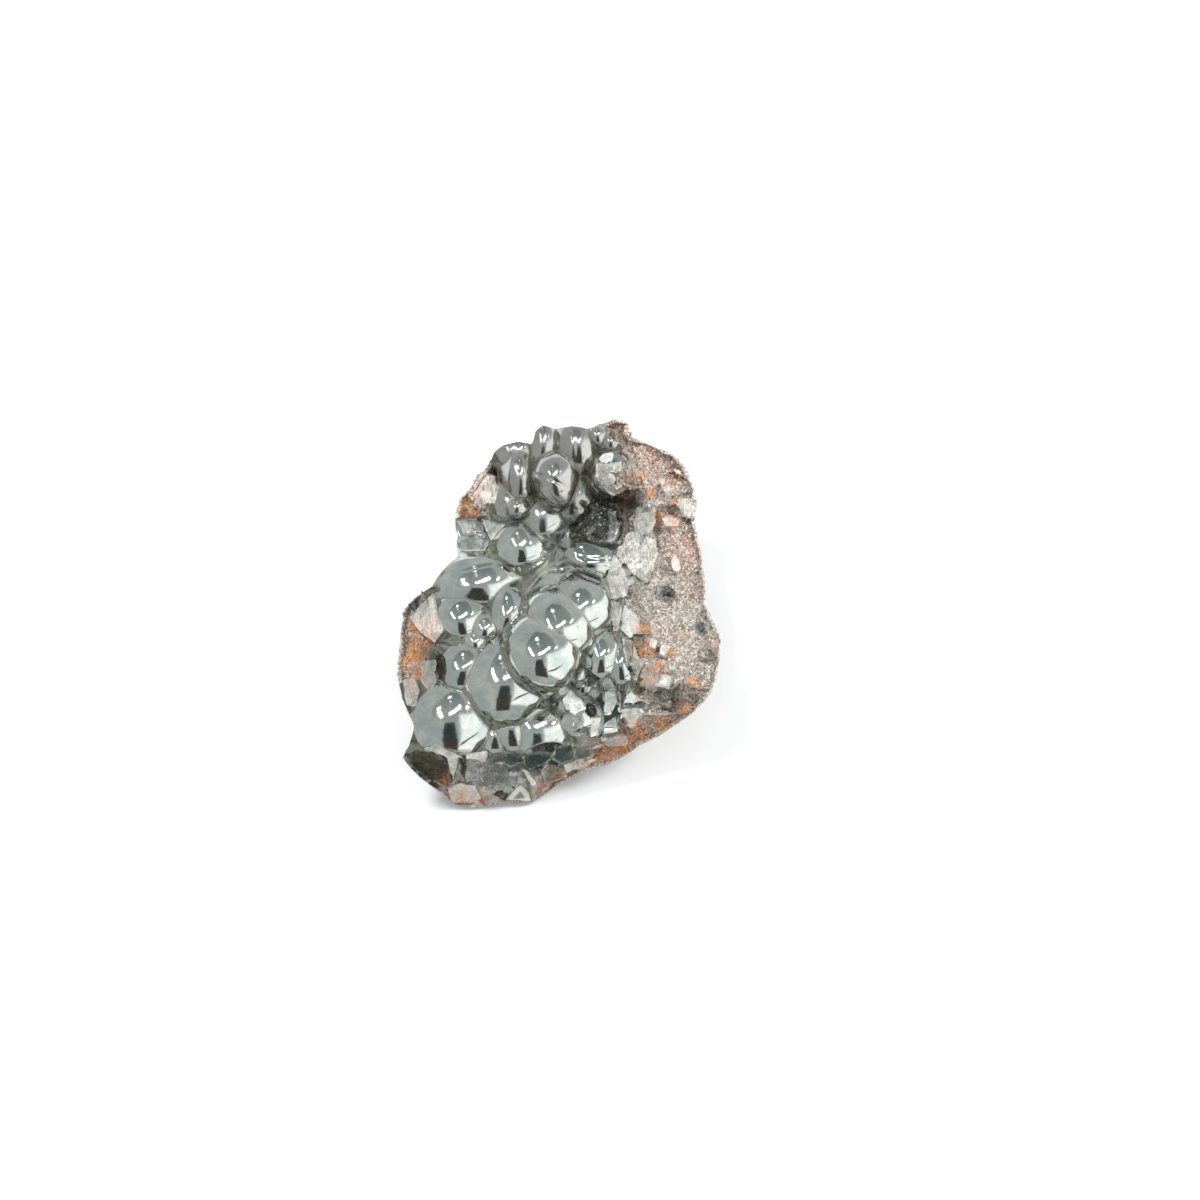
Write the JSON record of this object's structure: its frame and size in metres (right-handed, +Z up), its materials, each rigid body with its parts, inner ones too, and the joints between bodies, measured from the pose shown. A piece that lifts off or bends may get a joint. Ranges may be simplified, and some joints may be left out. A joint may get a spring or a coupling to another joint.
{
  "type": "botryoidal hematite specimen",
  "caption": "Hand specimen of botryoidal hematite: silvery rounded domes on a broken granular matrix, lying on a flat break.",
  "frame": {"origin": "middle of the footprint box, on the surface that the specimen rests on", "axes": "+Z up; +Y from the low near edge to the thick far edge; +X to the right, towards the broken matrix"},
  "size_m": [0.065, 0.0744, 0.0294],
  "materials": {
    "hematite": "mirror-grey grown domes; grey-pink granular breaks stained with rust"
  },
  "bodies": {
    "root": {"hematite": "hematite"}
  },
  "joints": []
}
